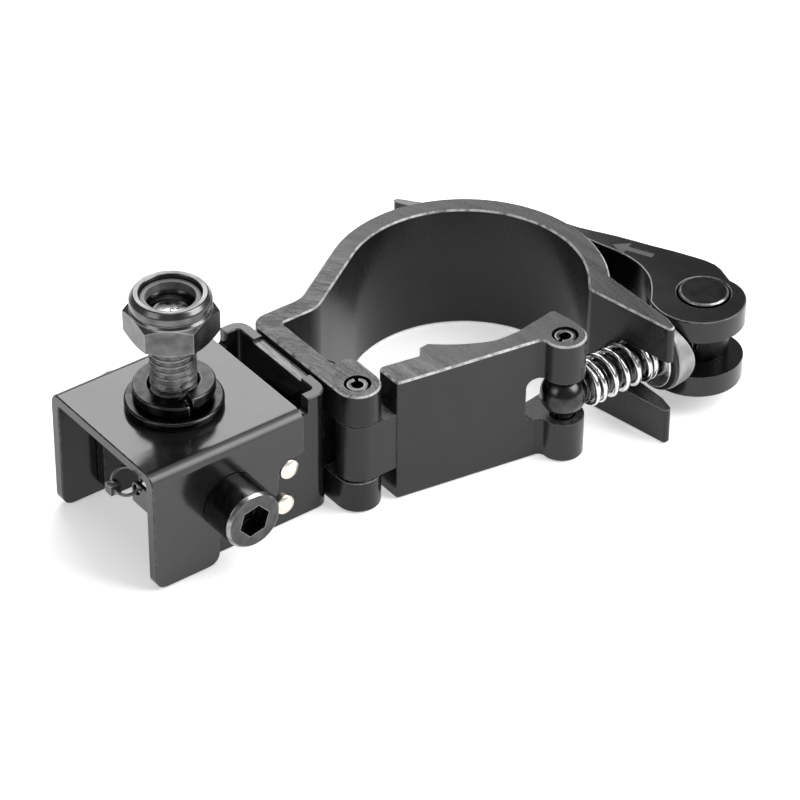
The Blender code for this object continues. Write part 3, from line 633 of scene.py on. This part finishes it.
# ---------------------------------------------------------- frame's own solids
def make_extrusions():
    # The second tuple of each call is the x range where the saw marks and the painted sheen of the cut faces
    # fade.
    body = extrusion("look_clamp_body", (-66.0, -14.0), (-24.0, -6.0), 0.36)
    jaw = extrusion("look_jaw", (-95.0, -25.0), (-30.0, -18.0), 0.46)
    piece("body_extrusion", solid_of("clamp_body"), body, "clamp_body", 0.12, 2, 28.0)
    piece("jaw_extrusion", solid_of("jaw"), jaw, "jaw", 0.12, 2, 28.0)


def make_brackets():
    strip_z = span("inner_bracket")[1].z - 0.9
    inner = plated_sheet("look_inner_bracket", (strip_z, -7.5, 9.5), 0.4)
    outer = plated_sheet("look_outer_bracket")
    piece("inner_sheet", solid_of("inner_bracket"), inner, "inner_bracket", 0.25, 3)
    piece("outer_sheet", solid_of("outer_bracket"), outer, "outer_bracket", 0.25, 3)
    piece("lug", solid_of("ring_lug"), plated_sheet("look_lug"), "ring_lug", 0.12, 2)


def arrow_outline(place, heading, length):
    """Plain arrow that shows which way the lever closes."""
    shape = [(0.5, 0.0), (0.12, 0.26), (0.12, 0.09), (-0.5, 0.09), (-0.5, -0.09),
             (0.12, -0.09), (0.12, -0.26)]
    turn = Matrix.Rotation(math.radians(heading), 2)
    return [tuple(Vector(place) + turn @ (Vector(p) * length)) for p in shape]


def make_lever():
    """Cam lever with an engraved arrow on its upper face, and the barrel it turns on."""
    pin = middle("cam_barrel")
    top = span("cam_lever")[1].z
    depth = 0.2
    arrow = prism(arrow_outline((pin.x - 1.9, pin.y + 21.5), 116.0, 10.0), top - depth, top + 2.0)
    lever = cut(solid_of("cam_lever"), arrow)
    look = satin_paint("look_lever", (top, depth))
    piece("lever_casting", lever, look, "cam_lever", 0.1, 2, 40.0)
    barrel = turned_face("look_barrel", "z", pin, (0.014, 0.030), (0.26, 0.38), 0.22, 0.55)
    piece("lever_barrel", solid_of("cam_barrel"), barrel, "cam_barrel", 0.35, 3)


# ------------------------------------------------------------- turned pieces
def make_ring(name, node, material, inner, outer, low, high, axis, place, corner):
    """Flat ring about an axis, its inner corners half as round as its outer ones."""
    start = (inner, (low + high) / 2.0)
    profile = [start, (inner, low), (outer, low), (outer, high), (inner, high), start]
    radii = (0.0, corner * 0.5, corner, corner, corner * 0.5, 0.0)
    ring = turned(rounded(profile, radii, 4)[:-1], closed=True)
    piece(name, turned_to(ring, axis, place), material, node)


def make_hinge_pins():
    """Rolled spring pins with a slit, a little below the faces of the knuckles."""
    look = metal("look_hinge_pins", (0.05, 0.10), (0.24, 0.36), (1.0, 1.0, 0.2), edge=0.40)
    for node, slit_at in (("hinge_pin_left", 60.0), ("hinge_pin_right", 200.0)):
        low, high = span(node)
        outer = (high.x - low.x) / 2.0
        inner = outer * 0.52
        lead = 0.3
        profile = [(inner, low.z), (outer - lead, low.z), (outer, low.z + lead * 2),
                   (outer, high.z - lead * 2), (outer - lead, high.z), (inner, high.z)]
        bm = turned(profile, 64, True, 360.0 - PIN_SLIT_DEG, slit_at + PIN_SLIT_DEG / 2.0)
        at = middle(node)
        bmesh.ops.translate(bm, verts=bm.verts, vec=(at.x, at.y, 0.0))
        piece(node + "_rolled", bm, look, node, 0.08, 2, 25.0)


def make_stop_pins():
    for node in ("stop_pin_upper", "stop_pin_lower"):
        low, high = span(node)
        at = middle(node)
        radius = (high.x - low.x) / 2.0
        look = turned_face("look_" + node, "y", at, ((0.80, 0.74, 0.66, 1.0), (0.93, 0.88, 0.80, 1.0)),
                           (0.20, 0.34), 0.35, (1.0, 0.96, 0.9, 1.0))
        profile = rounded([(0.0, low.y), (radius * 0.55, low.y + 0.03), (radius, low.y + 0.45),
                           (radius, high.y), (0.0, high.y)], (0.0, 1.5, 0.35, 0.0), 5)
        piece(node + "_turned", turned_to(turned(profile, 64), "y", (at.x, 0.0, at.z)), look, node)


def lock_nut(flats, tall, bore, opening):
    """Hexagon lock nut about Z from 0 to tall, its crown open for the nylon ring."""
    seat = tall * 0.62
    corner = flats / math.sqrt(3.0)
    land = flats * 0.485
    rise = (corner - land) * math.tan(math.radians(CORNER_DEG))
    limits = [(bore, 0.0), (land, 0.0), (corner + 0.02, rise), (corner + 0.02, seat - rise),
              (land, seat), (bore, seat)]
    hexa = cut(prism(hexagon(flats), -0.5, seat + 0.5), turned(limits, closed=True), "INTERSECT")
    wide = flats / 2.0 - 0.05
    neck = seat + tall * 0.07
    crown = [(bore + 0.4, seat - 0.6), (wide, seat - 0.6), (wide, seat + 0.1), (wide - 0.5, neck),
             (wide, neck + 0.5), (wide, tall - 1.2), (wide - 0.9, tall), (opening, tall - 0.1),
             (opening, tall - 3.1), (bore, tall - 3.1), (bore, seat - 1.0)]
    radii = (0.0, 0.0, 0.1, 0.3, 0.25, 1.1, 0.5, 0.25, 0.0, 0.0)
    return hexa, turned(rounded(crown, radii, 6))


def make_lock_nuts():
    """The three lock nuts and their nylon rings."""
    look = metal("look_lock_nuts", (0.085, 0.16), (0.18, 0.28), (1.0, 1.0, 1.0), 0.004, 0.25, 0.40)
    nylon = moulded("look_nut_rings", (0.10, 0.15), (0.30, 0.45))
    for node, axis, flats, turn in (("yoke_nut", "z", M10_FLATS, 23.0), ("tilt_nut", "y", M8_FLATS, 30.0),
                                    ("swivel_nut", "x", M8_FLATS, 10.0)):
        along = "xyz".index(axis)
        low, high = span(node)
        ring = node + "_insert"
        ring_low, ring_high = span(ring)
        tall = high[along] - low[along]
        opening = (ring_high[along - 1] - ring_low[along - 1]) / 2.0
        bore = opening * 0.79
        at = middle(ring)
        at[along] = low[along]
        spin = Matrix.Rotation(math.radians(turn), 4, "Z")
        parts = []
        for part in lock_nut(flats, tall, bore, opening + 0.02):
            bmesh.ops.transform(part, matrix=spin, verts=part.verts)
            parts.append(part)
        nut = turned_to(joined(*parts), axis, at)
        piece(node + "_forged", nut, look, node, 0.4, 4, 24.0)
        make_ring(ring + "_moulded", ring, nylon, bore + 0.05, opening - 0.02,
                  ring_low[along] - low[along], ring_high[along] - low[along], axis, at, 0.35)


def hex_head(flats, low, high):
    """Bolt head about Z with its corners turned down at both ends."""
    corner = flats / math.sqrt(3.0)
    land = flats * 0.475
    rise = (corner - land) * math.tan(math.radians(CORNER_DEG))
    limits = [(0.0, low), (land, low), (corner + 0.02, low + rise), (corner + 0.02, high - rise),
              (land, high), (0.0, high)]
    return cut(prism(hexagon(flats), low - 0.5, high + 0.5), turned(limits), "INTERSECT")


def make_yoke_bolt():
    low, high = span("yoke_bolt")
    at = middle("flat_washer")
    head_top = span("outer_bracket")[1].z - 2.6
    look = turned_face("look_yoke_bolt", "z", at, (0.10, 0.20), (0.16, 0.26), 0.3, 0.50, 0.55)
    head = hex_head(YOKE_HEAD_FLATS, low.z, head_top)
    shank = threaded_rod(M10_RADIUS, M10_PITCH, head_top - 0.4, high.z, 1.1)
    piece("yoke_bolt_threaded", turned_to(joined(head, shank), "z", (at.x, at.y, 0.0)), look,
          "yoke_bolt", 0.08, 2, 28.0)


def make_washers():
    look = metal("look_washers", (0.020, 0.045), (0.16, 0.30), (1.0, 1.0, 1.0), 0.008, 0.5, 0.30)
    low, high = span("flat_washer")
    at = middle("flat_washer")
    make_ring("flat_washer_pressed", "flat_washer", look, WASHER_BORE_R, (high.x - low.x) / 2.0,
              low.z, high.z, "z", (at.x, at.y, 0.0), 0.55)
    low, high = span("spring_washer")
    outer = (high.x - low.x) / 2.0
    inner = outer - SPLIT_WIDTH
    rise = high.z - low.z - SPLIT_THICK
    section = rounded([(inner, 0.0), (inner, SPLIT_THICK), (outer, SPLIT_THICK), (outer, 0.0), (inner, 0.0)],
                      (0.0, 0.25, 0.45, 0.45, 0.0), 4)[:-1]
    bm = bmesh.new()
    rows = []
    for i in range(FINE + 1):
        share = i / FINE
        a = math.radians(SPLIT_DEG + SPLIT_SWEEP * share)
        rows.append([bm.verts.new((r * math.cos(a), r * math.sin(a), h + rise * (1.0 - share)))
                     for r, h in section])
    for one, two in zip(rows, rows[1:]):
        for k in range(len(section)):
            n = (k + 1) % len(section)
            bm.faces.new((one[k], one[n], two[n], two[k]))
    bm.faces.new(rows[0])
    bm.faces.new(list(reversed(rows[-1])))
    bmesh.ops.recalc_face_normals(bm, faces=bm.faces)
    piece("spring_washer_split", turned_to(bm, "z", (at.x, at.y, low.z)), look, "spring_washer",
          0.12, 2, 40.0)


def make_tilt_screw():
    """Socket head screw across the bracket, threaded where the lock nut holds it."""
    low, high = span("tilt_screw")
    at = middle("tilt_nut_insert")
    radius = (high.x - low.x) / 2.0
    seat = span("outer_bracket")[0].y - 0.1
    face = low.y
    profile = rounded([(0.0, face), (radius - 0.55, face), (radius, face + 0.7), (radius, seat - 0.3),
                       (radius - 0.3, seat), (0.0, seat)], (0.0, 0.3, 0.4, 0.0, 0.0), 4)
    head = cut(turned(profile), prism(hexagon(SOCKET_FLATS, 12.0), face - 1.0, face + 4.2))
    plain = turned([(0.0, seat - 0.2), (M8_RADIUS, seat - 0.2), (M8_RADIUS, 2.0), (M8_RADIUS - 0.4, 2.4),
                    (0.0, 2.4)], 48)
    thread = threaded_rod(M8_RADIUS, M8_PITCH, 1.8, high.y, 0.8)
    look = turned_face("look_tilt_screw", "y", at, (0.05, 0.10), (0.18, 0.28), 0.25, 0.45)
    screw = turned_to(joined(head, plain, thread), "y", (at.x, 0.0, at.z))
    piece("tilt_screw_socket", screw, look, "tilt_screw", 0.2, 3, 28.0)


def make_swivel_bolt():
    low, high = span("swivel_bolt")
    at = middle("swivel_nut_insert")
    look = metal("look_swivel_bolt", (0.03, 0.07), (0.24, 0.36), edge=0.3)
    head = hex_head(M8_FLATS, low.x, low.x + 4.0)
    shank = threaded_rod(M8_RADIUS, M8_PITCH, low.x + 3.8, high.x, 0.8)
    bolt = turned_to(joined(head, shank), "x", (0.0, at.y, at.z))
    piece("swivel_bolt_threaded", bolt, look, "swivel_bolt", 0.08, 2, 28.0)


def make_swing_bolt():
    """Eye bolt: ball end with flats and an eye, then a long threaded shank."""
    low, high = span("eye_bolt")
    eye = middle("hinge_pin_right")
    axis_z = middle("thrust_washer").z
    ball = 5.0
    arc = [(ball * math.cos(math.radians(a)), ball * math.sin(math.radians(a))) for a in range(-84, 42, 6)]
    profile = [(0.0, -ball)] + arc + [(3.5, 3.8), (3.5, 4.5), (0.0, 4.5)]
    head = turned_to(turned(profile), "x", (eye.x, eye.y, axis_z))
    for side in (-1.0, 1.0):
        flat = prism([(-8.0, -8.0), (4.2, -8.0), (4.2, 8.0), (-8.0, 8.0)], 4.8, 9.0)
        if side < 0.0:
            bmesh.ops.scale(flat, vec=(1.0, 1.0, -1.0), verts=flat.verts)
            bmesh.ops.recalc_face_normals(flat, faces=flat.faces)
        head = cut(head, turned_to(flat, "z", (eye.x, eye.y, axis_z)))
    bore = turned([(0.0, 0.0), (2.8, 0.0), (2.8, 30.0), (0.0, 30.0)], 48)
    head = cut(head, turned_to(bore, "z", (eye.x, eye.y, 0.0)))
    in_barrel = span("cam_barrel")[0].x - 0.6
    shank = threaded_rod(M8_RADIUS, M8_PITCH, eye.x + 4.3, in_barrel, 0.3)
    tail = threaded_rod(M8_RADIUS - 0.25, M8_PITCH, in_barrel - 0.2, high.x, 0.6)
    rod = turned_to(joined(shank, tail), "x", (0.0, eye.y, axis_z))
    look = metal("look_swing_bolt", (0.035, 0.075), (0.16, 0.28), depth=0.004, edge=0.3)
    piece("swing_bolt", joined(head, rod), look, "eye_bolt", 0.1, 2, 30.0)


def make_spring():
    """Coil spring with closed ends, in the frame's box."""
    low, high = span("tension_spring")
    at = middle("tension_spring")
    mean_r = (high.z - low.z) / 2.0 - SPRING_WIRE_R
    closed = SPRING_CLOSED_TURNS * (2.0 * SPRING_WIRE_R + 0.06)
    length = high.x - low.x - 2.0 * SPRING_WIRE_R
    steps = int(SPRING_TURNS * 36)
    points = []
    for i in range(steps + 1):
        turn = SPRING_TURNS * i / steps
        if turn < SPRING_CLOSED_TURNS:
            x = turn / SPRING_CLOSED_TURNS * closed
        elif turn > SPRING_TURNS - SPRING_CLOSED_TURNS:
            x = length - (SPRING_TURNS - turn) / SPRING_CLOSED_TURNS * closed
        else:
            share = (turn - SPRING_CLOSED_TURNS) / (SPRING_TURNS - 2.0 * SPRING_CLOSED_TURNS)
            x = closed + share * (length - 2.0 * closed)
        a = math.tau * turn
        points.append((low.x + SPRING_WIRE_R + x, at.y + mean_r * math.cos(a), at.z + mean_r * math.sin(a)))
    look = metal("look_spring", (0.70, 0.86), (0.10, 0.22), (1.0, 1.0, 1.0), 0.003, 0.8)
    coil = piece("spring_wire", tube(points, SPRING_WIRE_R), look, "tension_spring", angle=60.0)
    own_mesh(coil)


def make_saddle_stack():
    """Bright washer, black nylon washer and the cast saddle that bears on the cam."""
    at = middle("thrust_washer")
    place = (0.0, at.y, at.z)
    zinc = turned_face("look_thrust_washer", "x", at, (0.50, 0.68), (0.18, 0.30), 0.3, 0.9)
    black = moulded("look_nylon_washer", (0.006, 0.012), (0.35, 0.5))
    for name, node, look, corner in (("thrust_washer_pressed", "thrust_washer", zinc, 0.15),
                                     ("nylon_washer_moulded", "nylon_washer", black, 0.25)):
        low, high = span(node)
        make_ring(name, node, look, SLIDE_BORE_R, (high.z - low.z) / 2.0, low.x, high.x, "x", place, corner)
    low, high = span("saddle")
    pin = middle("cam_barrel")
    wide = (high.z - low.z) / 2.0
    end = high.x + 2.5
    start = (SLIDE_BORE_R, low.x + 1.0)
    profile = [start, (SLIDE_BORE_R, low.x), (wide, low.x), (wide - 0.6, end), (SLIDE_BORE_R, end), start]
    ring = turned(rounded(profile, (0.0, 0.2, 0.5, 0.0, 0.0, 0.0), 4)[:-1], closed=True)
    cam = turned([(0.0, -5.0), (CAM_SEAT_R, -5.0), (CAM_SEAT_R, 35.0), (0.0, 35.0)], 192)
    cast = cut(turned_to(ring, "x", place), turned_to(cam, "z", (pin.x, pin.y, 0.0)))
    piece("saddle_cast", cast, die_cast("look_saddle"), "saddle", 0.3, 3, 35.0)


def make_wire_ring():
    look = metal("look_wire_ring", (0.05, 0.12), (0.24, 0.36), edge=0.4)
    piece("wire_ring_bent", solid_of("wire_ring"), look, "wire_ring", angle=50.0)


# --------------------------------------------------------- floor, light, camera
def make_floor():
    mesh = bpy.data.meshes.new("floor")
    corners = [(x * FLOOR_SIDE, y * FLOOR_SIDE, 0.0) for x, y in ((-1, -1), (1, -1), (1, 1), (-1, 1))]
    mesh.from_pydata(corners, [], [(0, 1, 2, 3)])
    mesh.materials.append(floor_paper("look_floor"))
    floor = bpy.data.objects.new("floor", mesh)
    floor.location.z = -FLOOR_DROP
    bpy.context.scene.collection.objects.link(floor)


def softbox(name, centre, target, size, radiance):
    """Area light at centre, in mm, turned to a target; its own glow does not fade with distance."""
    light = bpy.data.lights.new(name, "AREA")
    light.shape = "RECTANGLE"
    light.size, light.size_y = size
    light.energy = radiance * math.pi * size[0] * size[1]
    lamp = bpy.data.objects.new(name, light)
    lamp.location = Vector(centre) * MM
    lamp.rotation_mode = "QUATERNION"
    lamp.rotation_quaternion = (Vector(centre) - Vector(target)).to_track_quat("Z", "Y")
    bpy.context.scene.collection.objects.link(lamp)


def make_light():
    """Key in front for the rims, a near panel behind for the bracket's top, weak fills."""
    world = bpy.data.worlds.new("studio")
    bpy.context.scene.world = world
    world.use_nodes = True
    world.node_tree.nodes["Background"].inputs["Color"].default_value = grey(1.0)
    world.node_tree.nodes["Background"].inputs["Strength"].default_value = WORLD_GLOW
    softbox("light_key", (520.0, -620.0, 720.0), CAMERA_AIM, (0.62, 0.75), 7.0)
    softbox("light_bracket", (92.0, 290.0, 297.0), (-74.0, 1.5, 29.0), (0.27, 0.26), 4.4)
    softbox("light_left", (-1040.0, -60.0, 620.0), CAMERA_AIM, (0.5, 0.5), 2.4)
    softbox("light_top", (0.0, 0.0, 1300.0), CAMERA_AIM, (0.8, 0.8), 1.6)
    bpy.context.scene.view_settings.view_transform = "Standard"


def make_camera():
    a = math.radians(CAMERA_AZIMUTH)
    e = math.radians(CAMERA_ELEVATION)
    back = Vector((math.sin(a) * math.cos(e), -math.cos(a) * math.cos(e), math.sin(e)))
    data = bpy.data.cameras.new("camera")
    data.lens = CAMERA_LENS
    data.sensor_width = 36.0
    data.clip_start = 0.05
    data.clip_end = 20.0
    camera = bpy.data.objects.new("camera", data)
    camera.location = (Vector(CAMERA_AIM) + back * CAMERA_DISTANCE) * MM
    camera.rotation_mode = "QUATERNION"
    roll = Quaternion((0.0, 0.0, 1.0), math.radians(CAMERA_ROLL))
    camera.rotation_quaternion = (-back).to_track_quat("-Z", "Y") @ roll
    bpy.context.scene.collection.objects.link(camera)
    bpy.context.scene.camera = camera


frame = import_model()
make_camera()
make_light()
make_floor()
make_extrusions()
make_brackets()
make_lever()
make_hinge_pins()
make_stop_pins()
make_lock_nuts()
make_yoke_bolt()
make_washers()
make_tilt_screw()
make_swivel_bolt()
make_swing_bolt()
make_spring()
make_saddle_stack()
make_wire_ring()
